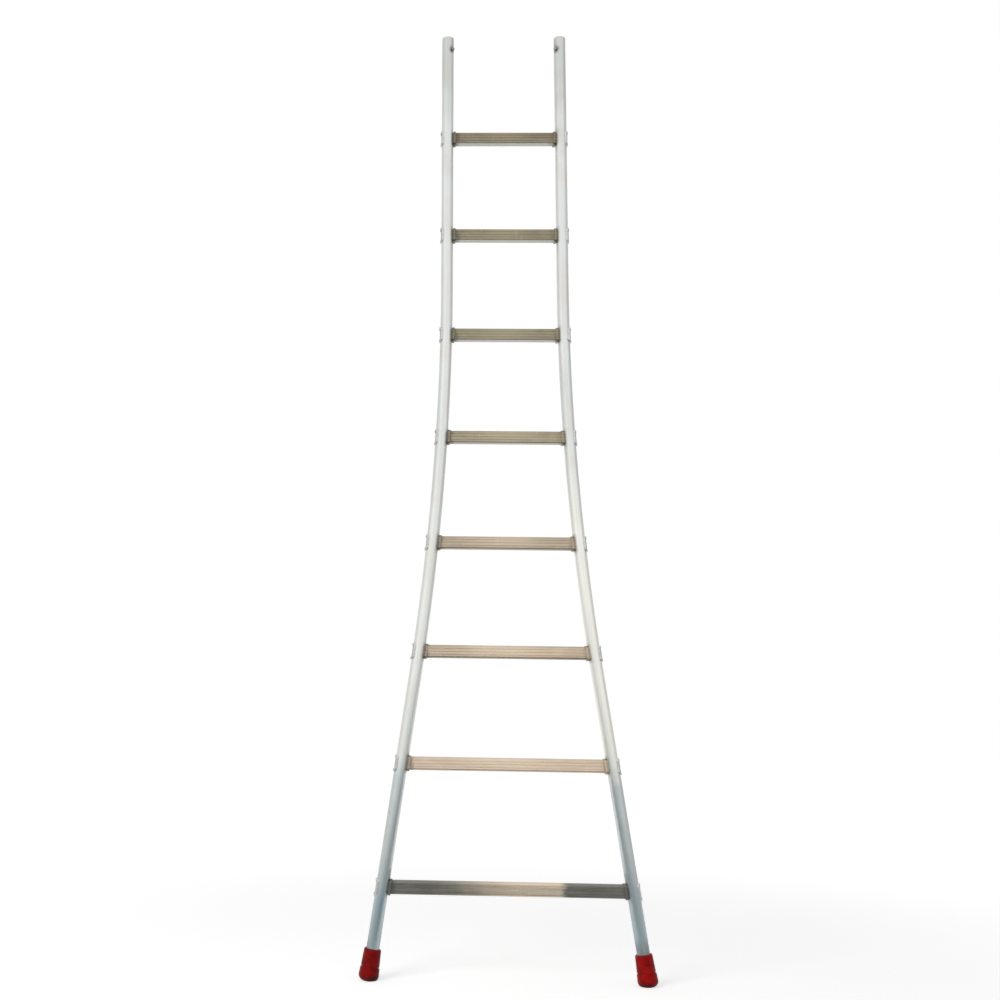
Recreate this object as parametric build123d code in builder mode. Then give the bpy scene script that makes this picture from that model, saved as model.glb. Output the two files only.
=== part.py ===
from build123d import *
import os
from math import asin, cos, radians, sin, sqrt, tan

# Flared base section of a plug-in extension ladder, in millimetres.
# +Z runs up the ladder, +X to the right as seen from the front, -Y to the front.
# The origin is on the floor, midway between the feet.

# Rungs, counted from the floor
rung_count = 8
first_rung_height = 220
first_rung_gap = 300
rung_pitch = 280
top_overhang = 300
rung_depth = 22
rung_height = 33
rung_corner = 5
rung_wall = 2

# Anti-slip grooves along each rung
groove_width = 1.6
groove_depth = 0.7
tread_groove_count = 3
tread_groove_pitch = 4.2
side_groove_count = 3
side_groove_pitch = 7.5

# Stiles: straight at the top, bent outwards, straight again to the feet
stile_diameter = 32
stile_wall = 2
top_half_spacing = 155
straight_top_length = 720
bend_radius = 7100
flare_angle = 8.4
stile_rim_break = 0.4

# Rung joints: a bead inside each stile and a spread lip outside it
joint_clearance = 0.1
bead_width = 6
bead_rise = 3
bead_edge_radius = 1.2
lip_thickness = 3
lip_side_margin = 2.5
lip_end_margin = 4
lip_edge_radius = 0.8

# Rubber feet
foot_length = 76
foot_socket_depth = 60
foot_top_diameter = 42
foot_shoulder_diameter = 46
foot_waist_diameter = 48
foot_base_diameter = 52
foot_clearance = 0.1
foot_band_height = 33
foot_band_width = 4
foot_band_depth = 2
foot_base_radius = 14
foot_top_radius = 3.5
foot_band_radius = 0.8
tread_cut = 3

# Steel washers under the stile ends
washer_thickness = 2
washer_clearance = 0.3
washer_hole_diameter = 8

# Spring lock buttons near the stile tops
lock_drop = 36
lock_turn = 45
button_diameter = 12
button_clearance = 0.08
button_reach = 5
button_tip_radius = 3
flange_diameter = 15
flange_thickness = 1.5
flange_gap = 0.3

# Leaf springs behind the buttons
leaf_thickness = 0.8
leaf_width = 8
leaf_gap = 0.15
leaf_pad_length = 18
leaf_foot_length = 10
leaf_leg_length = 46
leaf_bend_offset = 4
leaf_bend_radius = 3
leaf_corner_radius = 4

# Sizes that follow from the ones above
stile_radius = stile_diameter / 2
stile_bore_radius = stile_radius - stile_wall
joint_radius = stile_radius + joint_clearance
lip_radius = joint_radius + lip_thickness
lip_depth = rung_depth + 2 * lip_side_margin
lip_height = rung_height + 2 * lip_end_margin
flare = radians(flare_angle)
rung_heights = [first_rung_height]
for step in range(rung_count - 1):
    rung_heights.append(first_rung_height + first_rung_gap + step * rung_pitch)
ladder_height = rung_heights[-1] + top_overhang
bend_top_height = ladder_height - straight_top_length
bend_end_height = bend_top_height - bend_radius * sin(flare)
bend_end_offset = top_half_spacing + bend_radius * (1 - cos(flare))
lock_height = ladder_height - lock_drop
button_radius = button_diameter / 2
flange_radius = flange_diameter / 2
foot_base_ring = foot_base_diameter / 2 - foot_base_radius
foot_sole = foot_length - foot_socket_depth
foot_base_height = foot_base_ring * sin(flare) + foot_base_radius * (1 - cos(flare)) - tread_cut


def stile_turn(height):
    """Lean of the stile at a height, in radians, feet outwards."""
    if height >= bend_top_height:
        return 0.0
    if height >= bend_end_height:
        return asin((bend_top_height - height) / bend_radius)
    return flare


def stile_offset(height):
    """Distance from the ladder's middle to the stile's axis at a height."""
    if height >= bend_end_height:
        return top_half_spacing + bend_radius * (1 - cos(stile_turn(height)))
    return bend_end_offset + (bend_end_height - height) * tan(flare)


def stile_plane(height):
    """Plane square to the right stile at a height, with its X axis pointing inwards."""
    turn = stile_turn(height)
    return Plane(
        origin=(stile_offset(height), 0, height),
        x_dir=(-cos(turn), 0, -sin(turn)),
        z_dir=(-sin(turn), 0, cos(turn)),
    )


foot_plane = stile_plane(foot_base_height)
stile_end = foot_plane.offset(foot_sole + washer_thickness)

# The button points inwards and to the front, square to the stile
button_axis = Vector(-cos(radians(lock_turn)), -sin(radians(lock_turn)), 0)
button_plane = Plane(
    origin=(top_half_spacing, 0, lock_height),
    x_dir=(0, 0, 1),
    z_dir=button_axis,
)
flange_top = sqrt(stile_bore_radius**2 - flange_radius**2) - flange_gap
flange_base = flange_top - flange_thickness


def rung_plane(height, across):
    """Upright plane square to the rungs, at a height and a distance from the middle."""
    return Plane(origin=(across, 0, height), x_dir=(0, 1, 0), z_dir=(1, 0, 0))


def rung_outline():
    """Rounded rung section with lengthwise grooves on all four sides."""
    RectangleRounded(rung_depth, rung_height, rung_corner)
    for side in (1, -1):
        with Locations((0, side * rung_height / 2)):
            with GridLocations(tread_groove_pitch, 1, tread_groove_count, 1):
                Rectangle(groove_width, 2 * groove_depth, mode=Mode.SUBTRACT)
        with Locations((side * rung_depth / 2, 0)):
            with GridLocations(1, side_groove_pitch, 1, side_groove_count):
                Rectangle(2 * groove_depth, groove_width, mode=Mode.SUBTRACT)


def make_rung(height):
    """One hollow rung with a bead inside and a lip outside each stile."""
    joint = stile_plane(height)
    across = stile_offset(height)
    reach = 2 * lip_radius
    bead_plane = Plane(
        origin=(across - joint_radius / cos(stile_turn(height)), 0, height),
        x_dir=(0, 1, 0),
        z_dir=joint.x_dir,
    )
    with BuildPart() as rung:
        # Lip block outside the stile, hollowed to the stile's round
        with BuildSketch(rung_plane(height, across)):
            RectangleRounded(lip_depth, lip_height, rung_corner + lip_side_margin)
        extrude(amount=reach)
        with BuildSketch(joint.offset(-lip_height)):
            Circle(joint_radius)
        extrude(amount=2 * lip_height, mode=Mode.SUBTRACT)
        # Outer end of the rung, cut round like the stile
        with BuildSketch(rung_plane(height, across)):
            RectangleRounded(rung_depth, rung_height, rung_corner)
        extrude(amount=reach)
        with BuildSketch(joint.offset(-lip_height)):
            Circle(lip_radius)
        extrude(amount=2 * lip_height, mode=Mode.INTERSECT)
        lip_face = rung.faces().filter_by(GeomType.CYLINDER).sort_by(SortBy.AREA)[-1]
        fillet(lip_face.edges(), lip_edge_radius)
        # Bead against the inside of the stile
        with BuildSketch(bead_plane):
            RectangleRounded(
                rung_depth + 2 * bead_rise,
                rung_height + 2 * bead_rise,
                rung_corner + bead_rise,
            )
        extrude(amount=bead_width)
        bead_rims = rung.faces(Select.LAST).filter_by(Axis((0, 0, 0), joint.x_dir)).edges()
        fillet(bead_rims, bead_edge_radius)
        mirror(about=Plane.YZ)
        # Grooved stretch between the stiles
        with BuildSketch(rung_plane(height, 0)):
            rung_outline()
        extrude(amount=across, both=True)
        # Bore from end to end
        with BuildSketch(rung_plane(height, 0)):
            RectangleRounded(
                rung_depth - 2 * rung_wall,
                rung_height - 2 * rung_wall,
                rung_corner - rung_wall,
            )
        extrude(amount=across + reach, both=True, mode=Mode.SUBTRACT)
    return rung.part


os.makedirs("parts", exist_ok=True)

for number, height in enumerate(rung_heights, start=1):
    rung_name = f"rung_{number}"
    rung_part = make_rung(height)
    rung_part.label = rung_name
    export_step(rung_part, f"parts/{rung_name}.step")

with BuildPart() as stile_right:
    # Straight top, long bend and straight leg
    with BuildSketch(stile_plane(bend_top_height)) as tube_section:
        Circle(stile_radius)
        Circle(stile_bore_radius, mode=Mode.SUBTRACT)
    extrude(amount=straight_top_length)
    bend_axis = Axis((top_half_spacing + bend_radius, 0, bend_top_height), (0, -1, 0))
    revolve(tube_section.sketch, axis=bend_axis, revolution_arc=flare_angle)
    with BuildSketch(stile_plane(bend_end_height)):
        Circle(stile_radius)
        Circle(stile_bore_radius, mode=Mode.SUBTRACT)
    extrude(amount=-(bend_end_height - stile_end.origin.Z) / cos(flare))
    top_rim = stile_right.faces().sort_by(Axis.Z)[-1]
    chamfer(top_rim.edges(), stile_rim_break)
    # Rung holes through both walls
    for height in rung_heights:
        with BuildSketch(rung_plane(height, stile_offset(height))):
            RectangleRounded(
                rung_depth + 2 * joint_clearance,
                rung_height + 2 * joint_clearance,
                rung_corner + joint_clearance,
            )
        extrude(amount=2 * stile_radius, both=True, mode=Mode.SUBTRACT)
    # Lock button hole through the inner front wall
    with BuildSketch(button_plane):
        Circle(button_radius + button_clearance)
    extrude(amount=2 * stile_radius, mode=Mode.SUBTRACT)
stile_right.part.label = "stile_right"

with BuildPart() as foot_right:
    foot_bore_radius = stile_radius + foot_clearance
    foot_section_plane = Plane(
        origin=foot_plane.origin, x_dir=foot_plane.x_dir, z_dir=(0, 1, 0)
    )
    band_low = foot_band_height - foot_band_width / 2
    band_high = foot_band_height + foot_band_width / 2
    with BuildSketch(foot_section_plane):
        with BuildLine():
            outside = FilletPolyline(
                (0, 0),
                (foot_base_diameter / 2, 0),
                (foot_waist_diameter / 2, band_low),
                (foot_waist_diameter / 2 - foot_band_depth, band_low),
                (foot_shoulder_diameter / 2 - foot_band_depth, band_high),
                (foot_shoulder_diameter / 2, band_high),
                (foot_top_diameter / 2, foot_length),
                (foot_bore_radius, foot_length),
                radius=[
                    foot_base_radius,
                    foot_band_radius,
                    foot_band_radius,
                    foot_band_radius,
                    foot_band_radius,
                    foot_top_radius,
                ],
            )
            Polyline(
                outside @ 1,
                (foot_bore_radius, foot_sole),
                (0, foot_sole),
                outside @ 0,
            )
        make_face()
    revolve(axis=Axis(foot_plane.origin, foot_plane.z_dir))
    # Tread worn flat on the floor
    split(bisect_by=Plane.XY, keep=Keep.TOP)
foot_right.part.label = "foot_right"

with BuildPart() as foot_washer_right:
    with BuildSketch(foot_plane.offset(foot_sole)):
        Circle(stile_radius + foot_clearance - washer_clearance)
        Circle(washer_hole_diameter / 2, mode=Mode.SUBTRACT)
    extrude(amount=washer_thickness)
foot_washer_right.part.label = "foot_washer_right"

with BuildPart() as lock_button_right:
    with BuildSketch(button_plane.offset(flange_base)):
        Circle(flange_radius)
    extrude(amount=flange_thickness)
    with BuildSketch(button_plane.offset(flange_base)):
        Circle(button_radius)
    extrude(amount=stile_radius + button_reach - flange_base)
    button_tip = lock_button_right.faces().sort_by(Axis((0, 0, 0), button_axis))[-1]
    fillet(button_tip.edges(), button_tip_radius)
lock_button_right.part.label = "lock_button_right"

with BuildPart() as lock_spring_right:
    leaf_plane = Plane(
        origin=button_plane.origin, x_dir=button_axis, z_dir=button_axis.cross(Vector(0, 0, 1))
    )
    leaf_foot_reach = sqrt(stile_bore_radius**2 - (leaf_width / 2) ** 2) - leaf_gap
    bend_drop = leaf_pad_length / 2 + leaf_leg_length
    with BuildSketch(leaf_plane):
        with BuildLine():
            leaf_face = FilletPolyline(
                (flange_base, leaf_pad_length / 2),
                (flange_base, -leaf_pad_length / 2),
                (leaf_bend_offset, -bend_drop),
                (-leaf_bend_offset, -bend_drop),
                (-leaf_foot_reach, -leaf_foot_length / 2),
                (-leaf_foot_reach, leaf_foot_length / 2),
                radius=[leaf_corner_radius, leaf_bend_radius, leaf_bend_radius, leaf_corner_radius],
            )
            offset(leaf_face, amount=leaf_thickness, side=Side.RIGHT)
        make_face()
    extrude(amount=leaf_width / 2, both=True)
lock_spring_right.part.label = "lock_spring_right"

# The left-hand pieces mirror the right-hand ones
right_pieces = (stile_right, foot_right, foot_washer_right, lock_button_right, lock_spring_right)
for piece in right_pieces:
    with BuildPart() as left_piece:
        mirror(piece.part, about=Plane.YZ)
    left_name = piece.part.label.replace("right", "left")
    left_piece.part.label = left_name
    export_step(piece.part, f"parts/{piece.part.label}.step")
    export_step(left_piece.part, f"parts/{left_name}.step")
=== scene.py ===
import bmesh
import bpy
from math import cos, pi, radians, sin, tan
from mathutils import Matrix, Vector


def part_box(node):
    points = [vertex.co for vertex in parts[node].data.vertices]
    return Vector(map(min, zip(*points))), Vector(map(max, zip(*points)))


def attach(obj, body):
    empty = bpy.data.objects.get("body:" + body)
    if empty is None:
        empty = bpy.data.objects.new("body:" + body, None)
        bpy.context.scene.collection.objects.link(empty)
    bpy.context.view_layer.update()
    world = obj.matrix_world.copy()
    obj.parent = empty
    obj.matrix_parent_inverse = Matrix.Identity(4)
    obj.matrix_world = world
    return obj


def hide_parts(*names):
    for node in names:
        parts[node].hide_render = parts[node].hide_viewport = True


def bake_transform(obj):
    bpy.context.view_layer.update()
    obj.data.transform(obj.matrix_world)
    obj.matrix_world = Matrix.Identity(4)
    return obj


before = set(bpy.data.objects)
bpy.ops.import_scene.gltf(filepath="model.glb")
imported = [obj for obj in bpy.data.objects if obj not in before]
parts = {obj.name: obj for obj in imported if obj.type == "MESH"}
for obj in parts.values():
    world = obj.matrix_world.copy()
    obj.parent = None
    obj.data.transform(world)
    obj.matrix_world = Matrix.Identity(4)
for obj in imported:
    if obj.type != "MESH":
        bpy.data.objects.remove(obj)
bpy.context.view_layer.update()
sides = (("left", -1), ("right", 1))
print("ladder loaded:", len(parts), "pieces")


# small node helpers, shared by all the finishes

white = (1, 1, 1, 1)
black = (0, 0, 0, 1)
usualNoise = (0.3, 0.7)  # most of a noise lies between these

scratches = {
    "middle": 0.5, "halfWidth": 0.010,  # a scratch runs where the noise is near its middle
    "patches": ((22, 22, 22), 1.0, 0.5), "patchEdge": (0.56, 0.66),
}


def newFinish(name, metal, shine=0.5):
    finish = bpy.data.materials.new(name)
    finish.use_nodes = True
    tree = finish.node_tree
    shader = tree.nodes["Principled BSDF"]
    shader.inputs["Metallic"].default_value = metal
    shader.inputs["Specular IOR Level"].default_value = shine
    return finish, tree, shader


def ownPlace(tree):
    return tree.nodes.new("ShaderNodeTexCoord").outputs["Object"]


def feed(tree, socket, value):
    if isinstance(value, bpy.types.NodeSocket):
        tree.links.new(value, socket)
    else:
        socket.default_value = value


def plug(tree, shader, colour, rough, normal):
    for socket, value in (("Base Color", colour), ("Roughness", rough), ("Normal", normal)):
        tree.links.new(value, shader.inputs[socket])


def maths(tree, operation, first, second=0.0):
    node = tree.nodes.new("ShaderNodeMath")
    node.operation = operation
    feed(tree, node.inputs[0], first)
    feed(tree, node.inputs[1], second)
    return node.outputs[0]


def plus(tree, first, second):
    return maths(tree, "ADD", first, second)


def minus(tree, first, second):
    return maths(tree, "SUBTRACT", first, second)


def times(tree, first, second):
    return maths(tree, "MULTIPLY", first, second)


def larger(tree, first, second):
    return maths(tree, "MAXIMUM", first, second)


def unsigned(tree, value):
    return maths(tree, "ABSOLUTE", value)


def fade(tree, value, start, end, low=0.0, high=1.0):
    # eases from low to high while the value goes from start to end
    node = tree.nodes.new("ShaderNodeMapRange")
    node.interpolation_type = "SMOOTHSTEP"
    feed(tree, node.inputs["Value"], value)
    for socket, number in zip(("From Min", "From Max", "To Min", "To Max"), (start, end, low, high)):
        feed(tree, node.inputs[socket], number)
    return node.outputs["Result"]


def ragged(tree, value, noise, by):
    # moves a value to and fro, so that an edge made from it isn't straight
    return plus(tree, value, fade(tree, noise, *usualNoise, -by, by))


def grain(tree, place, fineness, detail, rough, turn=(0, 0, 0)):
    mapping = tree.nodes.new("ShaderNodeMapping")
    mapping.inputs["Rotation"].default_value = turn
    mapping.inputs["Scale"].default_value = fineness
    tree.links.new(place, mapping.inputs["Vector"])
    noise = tree.nodes.new("ShaderNodeTexNoise")
    noise.inputs["Scale"].default_value = 1.0
    noise.inputs["Detail"].default_value = detail
    noise.inputs["Roughness"].default_value = rough
    tree.links.new(mapping.outputs["Vector"], noise.inputs["Vector"])
    return noise.outputs["Fac"]


def hairlines(tree, place, fineness, turn):
    # thin straight scratches, kept to a few patches
    waves = grain(tree, place, fineness, 0.0, 0.0, turn)
    lines = fade(tree, unsigned(tree, minus(tree, waves, scratches["middle"])), scratches["halfWidth"], 0.0)
    patches = fade(tree, grain(tree, place, *scratches["patches"], turn), *scratches["patchEdge"])
    return times(tree, lines, patches)


def tint(tree, amount, under, over):
    node = tree.nodes.new("ShaderNodeMix")
    node.data_type = "RGBA"
    feed(tree, node.inputs[0], amount)
    feed(tree, node.inputs[6], under)
    feed(tree, node.inputs[7], over)
    return node.outputs[2]


def relief(tree, height, depth, strength, under=None):
    node = tree.nodes.new("ShaderNodeBump")
    node.inputs["Strength"].default_value = strength
    node.inputs["Distance"].default_value = depth
    tree.links.new(height, node.inputs["Height"])
    if under is not None:
        tree.links.new(under, node.inputs["Normal"])
    return node.outputs["Normal"]


def split(tree, place):
    node = tree.nodes.new("ShaderNodeSeparateXYZ")
    tree.links.new(place, node.inputs[0])
    return node.outputs[0], node.outputs[1], node.outputs[2]


def join(tree, x, y, z):
    node = tree.nodes.new("ShaderNodeCombineXYZ")
    for socket, value in zip(node.inputs, (x, y, z)):
        tree.links.new(value, socket)
    return node.outputs[0]


def dress(names, finish):
    for name in names:
        for slot in parts[name].material_slots:
            slot.material = finish


# small mesh helpers, shared by the new pieces and the studio

tiny = 1e-6
sharpAngle = radians(32)


def edgesWhere(bm, fits):
    return [e for e in bm.edges if all(fits(v.co) for v in e.verts)]


def roundOff(bm, edges, offset, steps):
    bmesh.ops.bevel(bm, geom=edges, offset=offset, affect="EDGES", segments=steps, profile=0.5, material=-1)


def addPiece(name, bm, finish):
    mesh = bpy.data.meshes.new(name)
    bm.to_mesh(mesh)
    bm.free()
    mesh.materials.append(finish)
    piece = bpy.data.objects.new(name, mesh)
    bpy.context.scene.collection.objects.link(piece)
    return piece


def addSmoothPiece(name, bm, finish):
    for face in bm.faces:
        face.smooth = True
    openEdges = sum(len(e.link_faces) != 2 for e in bm.edges)
    piece = addPiece(name, bm, finish)
    piece.data.set_sharp_from_angle(angle=sharpAngle)
    print(name, "faces", len(piece.data.polygons), "open edges", openEdges)
    return piece


# stiles: drawn aluminium tube, satin, with lines that run along the bend

stile = {
    # half the spacing at the top, the straight top, the bend outwards, and the lock button below the top
    "topHalf": 0.155, "straightTop": 0.720, "bendRadius": 7.1, "flare": radians(8.4), "lockDrop": 0.036,
    "apart": 3.7,  # how far along the right stile takes its marks
    "bright": (0.765, 0.795, 0.775, 1), "warm": (0.765, 0.745, 0.705, 1), "dull": (0.63, 0.66, 0.65, 1),
    # the damp tone is partly a painted reflection of the ground, and the pale tone is a painted highlight
    "dampAndGroundReflection": (0.40, 0.49, 0.52, 1), "highlightPale": (0.93, 0.915, 0.84, 1), "oliveTone": (0.53, 0.555, 0.51, 1),
    # the grime colour serves both as grime and as painted shade
    "grimeAndShade": (0.16, 0.16, 0.15, 1), "scratched": (0.86, 0.86, 0.85, 1),
    # patterns: how fine across and along the tube, detail, roughness
    "fineLines": ((1400, 1400, 5), 3.0, 0.6), "broadLines": ((260, 260, 1.6), 2.0, 0.5),
    "patches": ((26, 26, 15), 3.0, 0.55), "clouds": ((9, 9, 3.5), 2.0, 0.5),
    "dents": ((38, 38, 24), 1.0, 0.4),
    # mixes: where in its pattern each starts and ends, then its least and greatest share
    "warmMix": (0.35, 0.70), "lineMix": (0.45, 0.75, 0.0, 0.35), "cloudMix": (0.50, 0.75, 0.0, 0.30),
    # stains, painted reflection, painted highlight and an olive tone by height, in the same way, and how
    # ragged they end
    "dampReflectionStep": (0.52, 0.46, 0.0, 0.32), "dampReflectionFoot": (0.34, 0.10, 0.0, 0.88), "legRagged": 0.025,
    "highlightBottom": (0.48, 0.54), "highlightTop": (1.35, 0.95), "highlightSides": (-0.05, 0.05, 0.40, 1.0),
    "oliveTop": (2.08, 2.46, 0.0, 0.6), "topRagged": 0.06,
    # painted shade with grime near a bead, on the side towards it, and grime above a foot
    "beadNear": (0.030, 0.018), "beadSide": (-0.004, -0.013), "beadPatches": (0.30, 0.60, 0.12, 0.38),
    "footNear": (0.125, 0.078), "footPatches": (0.35, 0.65, 0.15, 0.60),
    # painted shadow with some rub round a lock button: a little lower than the button and taller than wide
    "shadowRubDrop": 0.002, "shadowRubSquash": 0.75, "shadowRubReach": (0.0115, 0.0070, 0.0, 0.42),
    "shadowRubFront": (-0.006, -0.014), "shadowRubRagged": 0.0015, "shadowRubLineRagged": 0.0012,
    # scratches: how fine and how turned
    "longScratch": ((240, 2, 2), (0.0, 0.12, 0.5)), "crossScratch": ((2, 2, 210), (0.30, 0.65, 0.0)),
    "crossShare": 0.45, "scratchShare": 0.45,
    "roughness": 0.34, "cloudRough": (0.40, 0.75, 0.0, 0.10), "lineRough": (-0.03, 0.05),
    "grimeRough": 0.25,
    # reliefs: depth and strength
    "lineRelief": (0.00006, 0.5), "dentRelief": (0.0006, 0.25), "scratchRelief": (0.00008, 0.6),
}


def middleHeight(name):
    low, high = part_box(name)
    return (low.z + high.z) / 2


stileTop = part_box("stile_left")[1].z
bendTop = stileTop - stile["straightTop"]
lockHeight = stileTop - stile["lockDrop"]
firstRung, secondRung, thirdRung = (middleHeight(name) for name in ("rung_1", "rung_2", "rung_3"))
rungPitch = thirdRung - secondRung


def tubePlace(tree, x, y, z):
    # object coordinates straightened along the stile, so that draw lines follow the bend
    drop = larger(tree, minus(tree, bendTop, z), 0.0)
    bend = stile["bendRadius"] * sin(stile["flare"])
    inBend = maths(tree, "MINIMUM", drop, bend)
    inLeg = larger(tree, minus(tree, drop, bend), 0.0)
    square = stile["bendRadius"] ** 2
    root = maths(tree, "SQRT", minus(tree, square, times(tree, inBend, inBend)))
    offset = minus(tree, stile["topHalf"] + stile["bendRadius"], root)
    offset = plus(tree, offset, times(tree, inLeg, tan(stile["flare"])))
    aside = minus(tree, unsigned(tree, x), offset)
    # the right stile takes its marks from another stretch, so the two differ
    onRight = maths(tree, "GREATER_THAN", x, 0.0)
    stretch = plus(tree, z, times(tree, onRight, stile["apart"]))
    return join(tree, aside, y, stretch), aside


def jointGap(tree, z):
    # height above or below the nearest rung, counted from well below the floor to stay positive
    stepsBelow = 20
    climbed = plus(tree, minus(tree, z, secondRung), rungPitch * (stepsBelow + 0.5))
    upper = unsigned(tree, minus(tree, maths(tree, "MODULO", climbed, rungPitch), rungPitch / 2))
    lower = unsigned(tree, minus(tree, z, firstRung))
    return maths(tree, "MINIMUM", lower, upper)


def buttonShadowRub(tree, aside, y, z, patches, broadLines):
    # a painted shadow with some rub round each lock button, half way from inwards to the front
    sweep = times(tree, minus(tree, aside, y), cos(pi / 4))
    rise = times(tree, minus(tree, z, lockHeight - stile["shadowRubDrop"]), stile["shadowRubSquash"])
    near = maths(tree, "SQRT", plus(tree, times(tree, sweep, sweep), times(tree, rise, rise)))
    near = ragged(tree, near, patches, stile["shadowRubRagged"])
    near = ragged(tree, near, broadLines, stile["shadowRubLineRagged"])
    facing = fade(tree, plus(tree, aside, y), *stile["shadowRubFront"])
    return times(tree, fade(tree, near, *stile["shadowRubReach"]), facing)


def stileAluminium():
    finish, tree, shader = newFinish("satin drawn aluminium", 1.0)
    x, y, z = split(tree, ownPlace(tree))
    along, aside = tubePlace(tree, x, y, z)
    fineLines = grain(tree, along, *stile["fineLines"])
    broadLines = grain(tree, along, *stile["broadLines"])
    patches = grain(tree, along, *stile["patches"])
    clouds = grain(tree, along, *stile["clouds"])
    colour = tint(tree, fade(tree, patches, *stile["warmMix"]), stile["bright"], stile["warm"])
    colour = tint(tree, fade(tree, broadLines, *stile["lineMix"]), colour, stile["dull"])
    colour = tint(tree, fade(tree, clouds, *stile["cloudMix"]), colour, stile["dull"])
    # the legs are duller and bluer low down: partly a stain from standing on damp ground, partly a painted
    # reflection of the ground
    leg = ragged(tree, z, patches, stile["legRagged"])
    for dampAndReflection in ("dampReflectionStep", "dampReflectionFoot"):
        colour = tint(tree, fade(tree, leg, *stile[dampAndReflection]), colour, stile["dampAndGroundReflection"])
    # painted highlight: they are paler between the second and fifth rungs, the right one most
    highlightPale = times(tree, fade(tree, leg, *stile["highlightBottom"]), fade(tree, leg, *stile["highlightTop"]))
    highlightPale = times(tree, highlightPale, fade(tree, x, *stile["highlightSides"]))
    colour = tint(tree, highlightPale, colour, stile["highlightPale"])
    # darker and more olive at the top
    top = ragged(tree, z, patches, stile["topRagged"])
    colour = tint(tree, fade(tree, top, *stile["oliveTop"]), colour, stile["oliveTone"])
    # painted shade with grime round the rung beads on the inner side, and grime above the feet
    ring = fade(tree, jointGap(tree, z), *stile["beadNear"])
    ring = times(tree, ring, fade(tree, aside, *stile["beadSide"]))
    ring = times(tree, ring, fade(tree, patches, *stile["beadPatches"]))
    boot = times(tree, fade(tree, z, *stile["footNear"]), fade(tree, patches, *stile["footPatches"]))
    # painted shadow, with some rub, round the lock buttons
    shadowRub = buttonShadowRub(tree, aside, y, z, patches, broadLines)
    for amount in (ring, boot, shadowRub):
        colour = tint(tree, amount, colour, stile["grimeAndShade"])
    crossing = times(tree, hairlines(tree, along, *stile["crossScratch"]), stile["crossShare"])
    scratch = larger(tree, hairlines(tree, along, *stile["longScratch"]), crossing)
    colour = tint(tree, times(tree, scratch, stile["scratchShare"]), colour, stile["scratched"])
    rough = plus(tree, stile["roughness"], fade(tree, clouds, *stile["cloudRough"]))
    rough = plus(tree, rough, fade(tree, fineLines, *usualNoise, *stile["lineRough"]))
    rough = plus(tree, rough, times(tree, larger(tree, ring, boot), stile["grimeRough"]))
    lines = relief(tree, fineLines, *stile["lineRelief"])
    dents = relief(tree, grain(tree, along, *stile["dents"]), *stile["dentRelief"], lines)
    cuts = relief(tree, minus(tree, 1.0, scratch), *stile["scratchRelief"], dents)
    plug(tree, shader, colour, rough, cuts)
    return finish


dress(("stile_left", "stile_right"), stileAluminium())
print("stiles finished")


# rungs: grooved extrusions, champagne toned, with light and shade painted in by height, worn where shoes
# land

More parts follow.
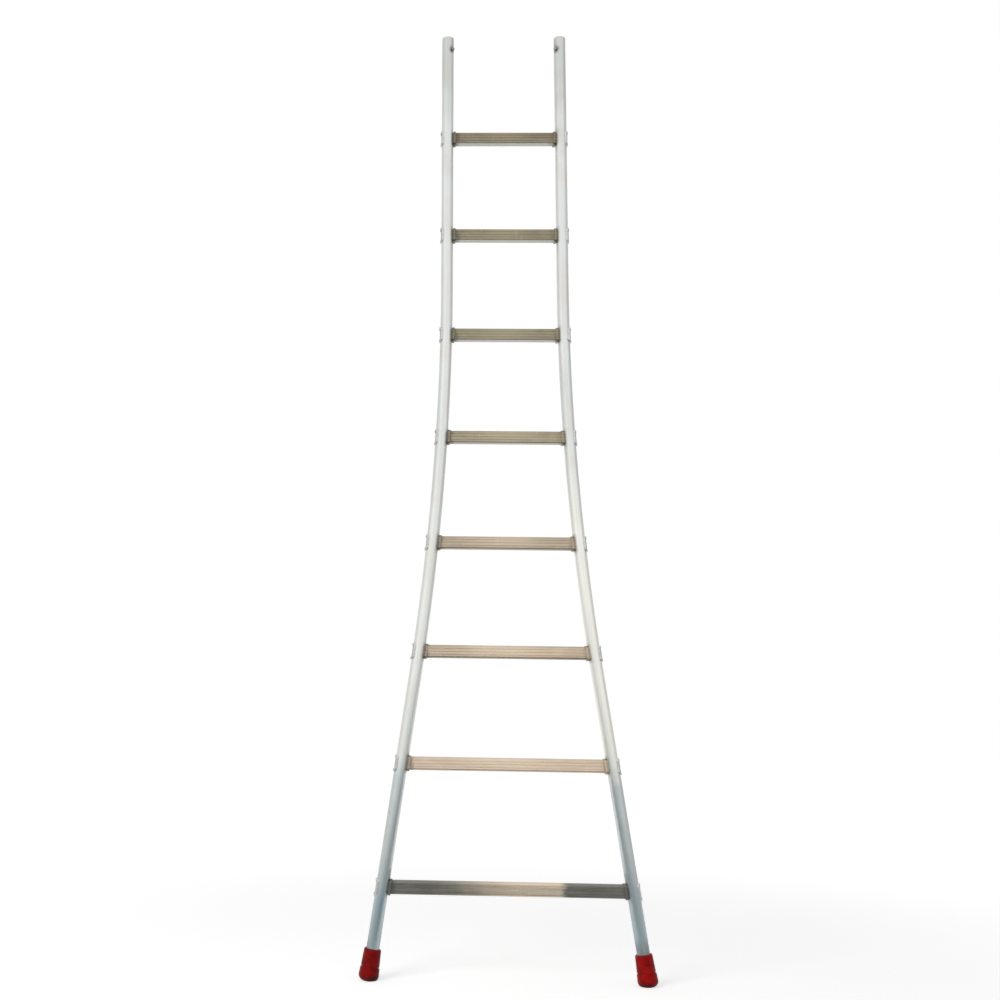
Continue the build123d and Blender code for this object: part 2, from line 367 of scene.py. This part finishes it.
rung = {
    # painted light and shade by height: tones from the top down, with those of the two lowest rungs
    "top": (0.310, 0.262, 0.184), "upper": (0.368, 0.330, 0.225), "lower": (0.72, 0.580, 0.440),
    "second": (0.91, 0.735, 0.565), "lowest": (0.28, 0.265, 0.23), "tan": (0.96, 0.78, 0.58),
    "toUpper": (0.70, 0.95), "toTop": (1.64, 0.56),  # height where each change starts, and its length
    # shades of a tone, none of them paler than the palest
    "darker": 0.82, "lighter": 1.18, "worn": 1.24, "beadShade": 0.70, "palest": 0.97,
    "lip": (0.72, 0.74, 0.72, 1), "lipShade": (0.55, 0.56, 0.55, 1), "bare": (0.72, 0.705, 0.675, 1),
    # the edge colour is painted shade, and the grime colour serves both as grime and as painted shade
    "edgeShade": (0.125, 0.122, 0.108, 1), "grimeAndShade": (0.045, 0.042, 0.036, 1), "scratched": (0.8, 0.78, 0.74, 1),
    "metal": 0.9, "halfDepth": 0.011, "halfHeight": 0.0165,
    "beadInset": 0.0415,  # from the rung's end to the start of its bead
    # patterns: how fine along and across the rung, detail, roughness
    "brushing": ((4, 900, 900), 3.0, 0.6), "streaks": ((5, 160, 160), 2.0, 0.5),
    "fine": ((7, 520, 520), 2.0, 0.6), "patches": ((16, 40, 40), 3.0, 0.55),
    # mixes: where in its pattern each starts and ends, then its least and greatest share
    "streakMix": (0.35, 0.70), "patchMix": (0.45, 0.70, 0.0, 0.7), "fineMix": (0.42, 0.68, 0.0, 0.55),
    # polish from shoes: its ends as shares of the way to the bead, and its heights
    "shoeOut": 0.72, "shoeIn": 0.10, "shoeRise": (-0.006, 0.015, 0.40, 0.70), "shoeRagged": 0.03,
    "stepLeft": (-0.19, 0.04), "stepRight": (0.146, 0.122, 0.0, 0.97), "stepRagged": 0.012,
    "underside": (-0.0136, -0.0158), "underShade": 0.25, "underBare": 0.85,
    # where the grooves lie and how deep they start, on the sides and on the tread
    "sideBand": (0.0120, 0.0112), "sideDeep": (0.01085, 0.0104),
    "treadBand": (0.0066, 0.0060), "treadDeep": (0.01635, 0.0159), "grooveShadeAndGrime": 0.08,
    # painted shade on the edges by height, and how streaks thin it
    "upperEdge": (0.0085, 0.0150, 0.0, 0.32), "lowerEdge": (-0.0055, -0.0140),
    "lowerEdgeShare": 0.36, "lowerEdgeLoss": 0.26,  # the loss is that of the upper rungs
    "edgeStreaks": (0.25, 0.7, 1.0, 0.7),
    # ends: distances from the start of the bead, then left and right
    "dirtAndShade": (-0.013, -0.003), "dirtAndShadeSides": (-0.03, 0.03, 0.42, 0.15), "dirtAndShadeRagged": 0.006,
    "bead": (-0.0008, 0.0006), "beadSides": (0.03, -0.03, 0.15, 0.60),
    "crest": (0.0016, 0.0027), "crestPatches": (0.30, 0.65, 0.15, 0.38),
    "lipStart": (0.020, 0.026), "lipMix": (0.35, 0.70), "lipCornerShade": (0.0006, -0.0012, 0.0, 0.30),
    # scratches: how fine and how turned
    "longScratch": ((2, 2, 230), (0.25, 0.22, 0.0)), "crossScratch": ((210, 2, 2), (0.0, 0.5, 0.6)),
    "scratchShare": 0.40,
    "roughness": 0.34, "streakRough": (-0.05, 0.08), "fineRough": (0.35, 0.65, -0.04, 0.04),
    "dirtRough": 0.25, "polishSmooth": 0.08,
    # reliefs: depth and strength
    "brushRelief": (0.00008, 0.5), "patchRelief": (0.0003, 0.25),
}


def partWay(height, start, length):
    return min(max((height - start) / length, 0.0), 1.0)


def rungShades(name, middle, upperShare):
    # painted light and shade by height: brown at the top and paler lower down, with tones of their own on
    # the two lowest
    tone = Vector(rung["upper"]).lerp(Vector(rung["top"]), partWay(middle, *rung["toTop"]))
    tone = Vector(rung["lower"]).lerp(tone, upperShare)
    if name == "rung_2":
        tone = Vector(rung["second"])
    gain = rung["palest"] / max(tone)
    worn = tone * min(rung["worn"], gain)
    # on the lowest rung the dark tone is painted shade, and the tan one painted light as well as polish
    if name == "rung_1":
        tone = Vector(rung["lowest"])
        worn = Vector(rung["tan"])
    shades = {
        "plain": tone, "darker": tone * rung["darker"], "lighter": tone * min(rung["lighter"], gain),
        "worn": worn, "bead": tone * rung["beadShade"],
    }
    return {word: (*shade, 1) for word, shade in shades.items()}


def rungPolish(tree, name, bead, x, rise, patches):
    # shoes polish the middle, and the first step most, right of the middle, where the tan patch is painted
    # light as well as polish
    if name == "rung_1":
        step = ragged(tree, x, patches, rung["stepRagged"])
        return times(tree, fade(tree, step, *rung["stepLeft"]), fade(tree, step, *rung["stepRight"]))
    reach = ragged(tree, unsigned(tree, x), patches, rung["shoeRagged"])
    shoe = fade(tree, reach, bead * rung["shoeOut"], bead * rung["shoeIn"])
    return times(tree, shoe, fade(tree, rise, *rung["shoeRise"]))


def rungGrooves(tree, depth, fall):
    onSide = fade(tree, fall, *rung["sideBand"])
    onTread = fade(tree, depth, *rung["treadBand"])
    sideGroove = times(tree, onSide, fade(tree, depth, *rung["sideDeep"]))
    treadGroove = times(tree, onTread, fade(tree, fall, *rung["treadDeep"]))
    return larger(tree, sideGroove, treadGroove)


def rungEdges(tree, name, upperShare, rise, streaks):
    # painted shade on the rounded edges, but not on the low edge of the second rung
    darkest = rung["lowerEdgeShare"] - rung["lowerEdgeLoss"] * upperShare
    if name == "rung_2":
        darkest = 0.0
    upperEdge = fade(tree, rise, *rung["upperEdge"])
    lowerEdge = fade(tree, rise, *rung["lowerEdge"], 0.0, darkest)
    return times(tree, larger(tree, upperEdge, lowerEdge), fade(tree, streaks, *rung["edgeStreaks"]))


def rungEnds(tree, colour, shades, bead, x, depth, fall, patches, fine):
    # painted shade with grime against the bead, then the bead in a darker painted shade, with more painted
    # shade on the left ones
    past = minus(tree, unsigned(tree, x), bead)
    dirtAndShade = fade(tree, ragged(tree, past, patches, rung["dirtAndShadeRagged"]), *rung["dirtAndShade"])
    dirtAndShade = times(tree, dirtAndShade, fade(tree, x, *rung["dirtAndShadeSides"]))
    colour = tint(tree, dirtAndShade, colour, rung["grimeAndShade"])
    onBead = fade(tree, past, *rung["bead"])
    colour = tint(tree, onBead, colour, shades["bead"])
    colour = tint(tree, times(tree, onBead, fade(tree, x, *rung["beadSides"])), colour, rung["edgeShade"])
    # painted highlight with some rub on the crest of the bead
    proud = larger(tree, minus(tree, depth, rung["halfDepth"]), minus(tree, fall, rung["halfHeight"]))
    crest = times(tree, fade(tree, proud, *rung["crest"]), fade(tree, patches, *rung["crestPatches"]))
    colour = tint(tree, times(tree, crest, onBead), colour, shades["lighter"])
    # the lip outside is as bare as the stile, with painted shade in its corners
    lip = tint(tree, fade(tree, fine, *rung["lipMix"]), rung["lip"], rung["lipShade"])
    lip = tint(tree, fade(tree, proud, *rung["lipCornerShade"]), lip, rung["edgeShade"])
    return tint(tree, fade(tree, past, *rung["lipStart"]), colour, lip), dirtAndShade, onBead


def rungAluminium(name):
    middle = middleHeight(name)
    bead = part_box(name)[1].x - rung["beadInset"]
    climbed = partWay(middle, *rung["toUpper"])
    upperShare = climbed * climbed * (3 - 2 * climbed)  # eased at both ends
    shades = rungShades(name, middle, upperShare)
    finish, tree, shader = newFinish("brushed aluminium " + name, rung["metal"])
    place = ownPlace(tree)
    x, y, z = split(tree, place)
    depth = unsigned(tree, y)
    rise = minus(tree, z, middle)
    fall = unsigned(tree, rise)
    brushing = grain(tree, place, *rung["brushing"])
    streaks = grain(tree, place, *rung["streaks"])
    fine = grain(tree, place, *rung["fine"])
    patches = grain(tree, place, *rung["patches"])
    colour = tint(tree, fade(tree, streaks, *rung["streakMix"]), shades["darker"], shades["plain"])
    colour = tint(tree, fade(tree, patches, *rung["patchMix"]), colour, shades["lighter"])
    colour = tint(tree, fade(tree, fine, *rung["fineMix"]), colour, shades["darker"])
    polish = rungPolish(tree, name, bead, x, rise, patches)
    colour = tint(tree, polish, colour, shades["worn"])
    # painted shade darkens the underside of the low rungs, and the high ones have it bare
    under = fade(tree, rise, *rung["underside"])
    colour = tint(tree, times(tree, under, rung["underShade"] * (1 - upperShare)), colour, rung["grimeAndShade"])
    # painted shade with grime in the grooves
    groove = rungGrooves(tree, depth, fall)
    colour = tint(tree, times(tree, groove, rung["grooveShadeAndGrime"]), colour, rung["grimeAndShade"])
    colour = tint(tree, rungEdges(tree, name, upperShare, rise, streaks), colour, rung["edgeShade"])
    colour = tint(tree, times(tree, under, rung["underBare"] * upperShare), colour, rung["bare"])
    colour, dirtAndShade, onBead = rungEnds(tree, colour, shades, bead, x, depth, fall, patches, fine)
    longLines = hairlines(tree, place, *rung["longScratch"])
    scratch = larger(tree, longLines, hairlines(tree, place, *rung["crossScratch"]))
    colour = tint(tree, times(tree, scratch, rung["scratchShare"]), colour, rung["scratched"])
    rough = plus(tree, rung["roughness"], fade(tree, streaks, *usualNoise, *rung["streakRough"]))
    rough = plus(tree, rough, fade(tree, fine, *rung["fineRough"]))
    rough = plus(tree, rough, times(tree, larger(tree, groove, dirtAndShade), rung["dirtRough"]))
    rough = minus(tree, rough, times(tree, polish, rung["polishSmooth"]))
    lines = relief(tree, times(tree, brushing, minus(tree, 1.0, onBead)), *rung["brushRelief"])
    plug(tree, shader, colour, rough, relief(tree, patches, *rung["patchRelief"], lines))
    return finish


for name in sorted(parts):
    if name.startswith("rung_"):
        dress((name,), rungAluminium(name))
print("rungs finished")


# lock buttons: dull steel pins, rubbed bare at the tip by the next section

bareSteel = (0.42, 0.41, 0.40, 1)
rustStain = (0.30, 0.26, 0.20, 1)

button = {
    "dark": (0.21, 0.20, 0.185, 1),
    # patterns: how fine, detail, roughness
    "spots": ((420, 420, 420), 4.0, 0.6), "turned": ((90, 90, 900), 2.0, 0.5),
    "spotMix": (0.45, 0.75, 0.0, 0.35), "tip": (0.0190, 0.0212, 0.0, 0.75), "tipRagged": 0.0006,
    "roughness": (0.30, 0.50), "relief": (0.00005, 0.4),
}


def buttonSteel():
    finish, tree, shader = newFinish("dull button steel", 1.0)
    place = ownPlace(tree)
    x, y, _ = split(tree, place)
    spots = grain(tree, place, *button["spots"])
    turned = grain(tree, place, *button["turned"])
    colour = tint(tree, fade(tree, spots, *button["spotMix"]), button["dark"], bareSteel)
    # distance out from the stile's axis, along the button
    aside = minus(tree, unsigned(tree, x), stile["topHalf"])
    out = times(tree, plus(tree, aside, y), -cos(pi / 4))
    tip = ragged(tree, out, spots, button["tipRagged"])
    colour = tint(tree, fade(tree, tip, *button["tip"]), colour, bareSteel)
    rough = fade(tree, turned, *usualNoise, *button["roughness"])
    plug(tree, shader, colour, rough, relief(tree, plus(tree, spots, turned), *button["relief"]))
    return finish


dress(("lock_button_left", "lock_button_right"), buttonSteel())


# foot washers: zinc plated, a little stained

washer = {
    "zinc": (0.62, 0.63, 0.64, 1),
    # patterns: how fine, detail, roughness
    "spangle": ((240, 240, 240), 3.0, 0.6), "stains": ((60, 60, 60), 4.0, 0.6),
    "spangleMix": (0.35, 0.70), "stainMix": (0.56, 0.70, 0.0, 0.6),
    "roughness": (0.30, 0.48), "relief": (0.00005, 0.4),
}


def washerZinc():
    finish, tree, shader = newFinish("zinc plated washer", 1.0)
    place = ownPlace(tree)
    spangle = grain(tree, place, *washer["spangle"])
    stains = grain(tree, place, *washer["stains"])
    colour = tint(tree, fade(tree, spangle, *washer["spangleMix"]), washer["zinc"], bareSteel)
    colour = tint(tree, fade(tree, stains, *washer["stainMix"]), colour, rustStain)
    rough = fade(tree, spangle, *usualNoise, *washer["roughness"])
    plug(tree, shader, colour, rough, relief(tree, spangle, *washer["relief"]))
    return finish


dress(("foot_washer_left", "foot_washer_right"), washerZinc())
print("buttons and washers finished")


# leaf springs: a bent strip whose front arm gives way when its button is pressed, built here in its resting
# shape only

leaf = {
    "width": 0.008, "thickness": 0.0008,
    # reach along the button and height from it at each corner of the strip, with its rounding
    "strip": (
        (0.01000, 0.009, 0), (0.01000, -0.009, 0.0003), (0.004, -0.055, 0.0026),
        (-0.004, -0.055, 0.0026), (-0.013266, -0.005, 0.0004), (-0.013266, 0.005, 0),
    ),
    "foldSteps": 6, "armLength": 0.03, "armCuts": 16,  # edges longer than this are arms, and are cut
    "still": 0.0032, "moving": 0.0090,  # reach up to which it would stay, and from which it would go with the button; worked out but not used
    "blue": (0.20, 0.22, 0.26, 1),
    # patterns: how fine, detail, roughness
    "rolled": ((700, 700, 12), 3.0, 0.6), "stains": ((150, 150, 150), 4.0, 0.6),
    "rolledMix": (0.35, 0.70), "stainMix": (0.60, 0.72, 0.0, 0.7),
    "roughness": (0.26, 0.46), "relief": (0.00004, 0.5),
}


def springSteel():
    finish, tree, shader = newFinish("blued spring steel", 1.0)
    place = ownPlace(tree)
    rolled = grain(tree, place, *leaf["rolled"])
    stains = grain(tree, place, *leaf["stains"])
    colour = tint(tree, fade(tree, rolled, *leaf["rolledMix"]), leaf["blue"], bareSteel)
    colour = tint(tree, fade(tree, stains, *leaf["stainMix"]), colour, rustStain)
    rough = fade(tree, stains, *usualNoise, *leaf["roughness"])
    plug(tree, shader, colour, rough, relief(tree, rolled, *leaf["relief"]))
    return finish


def leafSpring(name, side, finish):
    bm = bmesh.new()
    line = [bm.verts.new((reach, -leaf["width"] / 2, height)) for reach, height, rounding in leaf["strip"]]
    edges = [bm.edges.new(pair) for pair in zip(line, line[1:])]
    sheet = bmesh.ops.extrude_edge_only(bm, edges=edges)
    far = [v for v in sheet["geom"] if isinstance(v, bmesh.types.BMVert)]
    bmesh.ops.translate(bm, vec=(0, leaf["width"], 0), verts=far)
    for reach, height, rounding in leaf["strip"]:
        if rounding:
            fold = edgesWhere(bm, lambda co: abs(co.x - reach) < tiny and abs(co.z - height) < tiny)
            roundOff(bm, fold, rounding, leaf["foldSteps"])
    arms = [e for e in bm.edges if e.calc_length() > leaf["armLength"]]
    bmesh.ops.subdivide_edges(bm, edges=arms, cuts=leaf["armCuts"], use_grid_fill=True)
    bmesh.ops.recalc_face_normals(bm, faces=bm.faces)
    bmesh.ops.solidify(bm, geom=bm.faces[:], thickness=leaf["thickness"])
    bmesh.ops.recalc_face_normals(bm, faces=bm.faces)
    # turned to face its button, inside the stile
    axis = Vector((-side, -1, 0)).normalized()
    up = Vector((0, 0, 1))
    turn = Matrix((axis, up.cross(axis), up)).transposed().to_4x4()
    middle = Vector((side * stile["topHalf"], 0, lockHeight))
    bmesh.ops.transform(bm, matrix=Matrix.Translation(middle) @ turn, verts=bm.verts)
    piece = addSmoothPiece(name, bm, finish)
    return piece, middle + axis * leaf["still"], middle + axis * leaf["moving"]


blued = springSteel()
for word, side in sides:
    piece, still, moving = leafSpring("leaf_spring_" + word, side, blued)
    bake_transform(piece)
    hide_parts("lock_spring_" + word)
print("springs bent")


# moulded rubber feet: sleeve, recessed band, flared bell and ringed sole

foot = {
    # radius, height and rounding of each corner
    "outline": (
        # out along the sole
        (0.0000, 0.0050, 0), (0.0030, 0.0050, 0), (0.0034, 0.0000, 0), (0.0062, 0.0000, 0),
        (0.0066, 0.0050, 0), (0.0088, 0.0050, 0), (0.0092, 0.0000, 0), (0.02596, 0.0000, 0.0148),
        # up the bell, with its mould line, over the band and up the sleeve
        (0.02473, 0.0190, 0.0003), (0.0241, 0.0196, 0.0003), (0.0240, 0.0210, 0.0003),
        (0.02455, 0.0216, 0.0003), (0.02396, 0.0310, 0.0009), (0.0220, 0.0310, 0.0006),
        (0.0210, 0.0350, 0.0006), (0.02296, 0.0350, 0.0009), (0.02096, 0.0760, 0.0034),
        # down the socket
        (0.0161, 0.0760, 0.0005), (0.0161, 0.0160, 0), (0.0000, 0.0160, 0),
    ),
    "turns": 96, "largeRounding": 0.01, "largeSteps": 12, "smallSteps": 4,
    # the unworn tread's half width and rounding, and how much of it is worn away
    "baseHalf": 0.026, "baseRounding": 0.014, "treadCut": 0.003, "cutExact": 1e-7,
    "red": (0.47, 0.0058, 0.0048, 1), "deep": (0.095, 0.0012, 0.0012, 1), "chalk": (0.56, 0.040, 0.032, 1),
    "dirtAndShade": (0.022, 0.0060, 0.0050, 1), "shine": 0.12,
    # patterns: how fine, detail, roughness
    "mottle": ((52, 52, 52), 4.0, 0.6), "pores": ((1100, 1100, 1100), 2.0, 0.6),
    "smears": ((60, 60, 22), 3.0, 0.5),
    "mottleMix": (0.40, 0.70, 0.0, 0.65), "chalkMix": (0.58, 0.72, 0.0, 0.25),
    "leftDark": (0.1, -0.1, 0.0, 0.48), "dirtAndShadeHeight": (0.016, 0.002, 0.0, 0.90), "dirtAndShadeRagged": 0.006,
    "roughness": (0.3, 0.75, 0.30, 0.56), "poreRelief": (0.0001, 0.35), "mottleRelief": (0.0004, 0.2),
}


def footRubber():
    finish, tree, shader = newFinish("moulded red rubber", 0.0, foot["shine"])
    place = ownPlace(tree)
    x, _, z = split(tree, place)
    mottle = grain(tree, place, *foot["mottle"])
    pores = grain(tree, place, *foot["pores"])
    smears = grain(tree, place, *foot["smears"])
    colour = tint(tree, fade(tree, mottle, *foot["mottleMix"]), foot["red"], foot["deep"])
    # the left foot is the darker of the two
    colour = tint(tree, fade(tree, x, *foot["leftDark"]), colour, foot["deep"])
    colour = tint(tree, fade(tree, smears, *foot["chalkMix"]), colour, foot["chalk"])
    # painted shade with dirt towards the bottom of the foot
    low = ragged(tree, z, mottle, foot["dirtAndShadeRagged"])
    colour = tint(tree, fade(tree, low, *foot["dirtAndShadeHeight"]), colour, foot["dirtAndShade"])
    skin = relief(tree, pores, *foot["poreRelief"])
    rough = fade(tree, smears, *foot["roughness"])
    plug(tree, shader, colour, rough, relief(tree, mottle, *foot["mottleRelief"], skin))
    return finish


def footPlace(side):
    # on the stile's axis, leaning with the leg, sunk by what is worn away
    lean = stile["flare"]
    height = (foot["baseHalf"] - foot["baseRounding"]) * sin(lean)
    height += foot["baseRounding"] * (1 - cos(lean)) - foot["treadCut"]
    bendEnd = bendTop - stile["bendRadius"] * sin(lean)
    axisX = stile["topHalf"] + stile["bendRadius"] * (1 - cos(lean))
    axisX += (bendEnd - height) * tan(lean)
    return Matrix.Translation((side * axisX, 0, height)) @ Matrix.Rotation(-side * lean, 4, "Y")


def mouldFoot(name, side, finish):
    bm = bmesh.new()
    corners = [bm.verts.new((radius, 0, height)) for radius, height, rounding in foot["outline"]]
    edges = [bm.edges.new(pair) for pair in zip(corners, corners[1:])]
    bmesh.ops.spin(bm, geom=corners + edges, cent=(0, 0, 0), axis=(0, 0, 1), angle=2 * pi,
                   steps=foot["turns"], use_merge=True)
    bmesh.ops.remove_doubles(bm, verts=bm.verts, dist=tiny)
    # round the moulded corners, ring by ring
    for radius, height, rounding in foot["outline"]:
        if rounding:
            ring = edgesWhere(bm, lambda co: abs(co.xy.length - radius) < tiny and abs(co.z - height) < tiny)
            large = rounding > foot["largeRounding"]
            roundOff(bm, ring, rounding, foot["largeSteps"] if large else foot["smallSteps"])
    bmesh.ops.transform(bm, matrix=footPlace(side), verts=bm.verts)
    # worn flat where it stands
    cut = bmesh.ops.bisect_plane(bm, geom=bm.verts[:] + bm.edges[:] + bm.faces[:], dist=foot["cutExact"],
                                 plane_co=(0, 0, 0), plane_no=(0, 0, 1), clear_inner=True)
    rim = [e for e in cut["geom_cut"] if isinstance(e, bmesh.types.BMEdge)]
    bmesh.ops.triangle_fill(bm, edges=rim, use_beauty=True)
    bmesh.ops.recalc_face_normals(bm, faces=bm.faces)
    return addSmoothPiece(name, bm, finish)


rubber = footRubber()
for word, side in sides:
    piece = mouldFoot("moulded_foot_" + word, side, rubber)
    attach(piece, "ladder")
    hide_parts("foot_" + word)
print("feet moulded")


# pale studio: white floor and surround, soft key from the left front, cards seen in reflections only

studio = {
    "surround": 0.28,
    "floorHalf": 14, "floor": (0.82, 0.82, 0.82, 1), "floorRoughness": 0.9,
    "floorGlow": (0.7, 3.5, 0.62, 0.80),  # distances between which it changes, then near and far glow
    "key": {"place": (-2.3, -2.6, 1.95), "aim": (0, 0, 1.25), "size": (1.8, 2.7), "watts": 64},
    "fill": {"place": (2.6, -2.4, 1.6), "aim": (0, 0, 1.2), "size": (1.6, 2.4), "watts": 3},
    # each card is an edge from start to end, drawn out by its spread
    "cards": {
        "ground_card": {
            "glow": (0.21, 0.26, 0.29),
            "start": (-5, -3.4, 0.004), "end": (5, -3.4, 0.004), "spread": (0, 3.18, 0),
        },
        "left_card": {
            "glow": (0.78, 0.78, 0.78),
            "start": (-3.2, -0.6, 0), "end": (-2.6, 2.6, 0), "spread": (0, 0, 4.5),
        },
        "right_card": {
            "glow": (0.60, 0.60, 0.60),
            "start": (3.0, -1.2, 0), "end": (2.6, 2.8, 0), "spread": (0, 0, 4.5),
        },
        "key_card": {
            "glow": (1.2, 1.2, 1.2),
            "start": (-3.0, -2.0, 0.6), "end": (-1.6, -3.2, 0.6), "spread": (0, 0, 2.7),
        },
    },
}


def seenBy(tree, *rayKinds):
    # 1 for rays of these kinds and 0 for all others
    rays = tree.nodes.new("ShaderNodeLightPath")
    seen = 0.0
    for kind in rayKinds:
        seen = larger(tree, seen, rays.outputs[kind])
    return seen


def studioWorld():
    world = bpy.data.worlds.new("white surround")
    bpy.context.scene.world = world
    world.use_nodes = True
    tree = world.node_tree
    sheet = tree.nodes["Background"]
    sheet.inputs["Color"].default_value = white
    seen = seenBy(tree, "Is Camera Ray", "Is Glossy Ray", "Is Transmission Ray")
    strength = fade(tree, seen, 0.0, 1.0, studio["surround"], 1.0)
    tree.links.new(strength, sheet.inputs["Strength"])


def studioFloor():
    paint, tree, shader = newFinish("pale floor paint", 0.0, 0.0)
    shader.inputs["Base Color"].default_value = studio["floor"]
    shader.inputs["Roughness"].default_value = studio["floorRoughness"]
    shader.inputs["Emission Color"].default_value = white
    distance = tree.nodes.new("ShaderNodeVectorMath")
    distance.operation = "LENGTH"
    tree.links.new(ownPlace(tree), distance.inputs[0])
    glow = fade(tree, distance.outputs["Value"], *studio["floorGlow"])
    seen = seenBy(tree, "Is Camera Ray", "Is Glossy Ray")
    tree.links.new(times(tree, seen, glow), shader.inputs["Emission Strength"])
    bm = bmesh.new()
    bmesh.ops.create_grid(bm, x_segments=1, y_segments=1, size=studio["floorHalf"])
    floor = addPiece("studio_floor", bm, paint)


def studioCard(name, make):
    paper, _, shader = newFinish(name + " paper", 0.0, 0.0)
    shader.inputs["Base Color"].default_value = black
    shader.inputs["Emission Color"].default_value = (*make["glow"], 1)
    shader.inputs["Emission Strength"].default_value = 1.0
    start, end, spread = (Vector(make[key]) for key in ("start", "end", "spread"))
    bm = bmesh.new()
    bm.faces.new([bm.verts.new(corner) for corner in (start, end, end + spread, start + spread)])
    card = addPiece(name, bm, paper)
    card.visible_camera = False
    card.visible_diffuse = False
    card.visible_shadow = False
    card.visible_transmission = False


def softbox(name, lamp):
    data = bpy.data.lights.new(name, "AREA")
    data.shape = "RECTANGLE"
    data.size, data.size_y = lamp["size"]
    data.energy = lamp["watts"]
    light = bpy.data.objects.new(name, data)
    bpy.context.scene.collection.objects.link(light)
    light.location = lamp["place"]
    light.rotation_euler = (Vector(lamp["aim"]) - Vector(lamp["place"])).to_track_quat("-Z", "Y").to_euler()
    light.visible_glossy = False


studioWorld()
studioFloor()
for name, make in studio["cards"].items():
    studioCard(name, make)
softbox("key softbox", studio["key"])
softbox("fill softbox", studio["fill"])
print("studio lit")


# camera where the photograph was taken: low, a little to the left, looking up

view = {
    "place": (-0.2520, -3.0640, 0.6617),
    "yaw": radians(-1.901), "pitch": radians(9.791), "roll": radians(0.874),
    "lens": 42.827, "sensor": 36, "shift": 0.13,
}

lens = bpy.data.cameras.new("camera")
lens.lens = view["lens"]
lens.sensor_width = view["sensor"]
lens.shift_x = view["shift"]
camera = bpy.data.objects.new("camera", lens)
bpy.context.scene.collection.objects.link(camera)
aim = Matrix.Rotation(-view["yaw"], 4, "Z") @ Matrix.Rotation(pi / 2 + view["pitch"], 4, "X")
aim = aim @ Matrix.Rotation(view["roll"], 4, "Z")
camera.matrix_world = Matrix.Translation(view["place"]) @ aim
bpy.context.scene.camera = camera
bpy.context.scene.view_settings.view_transform = "Standard"
print("camera set")
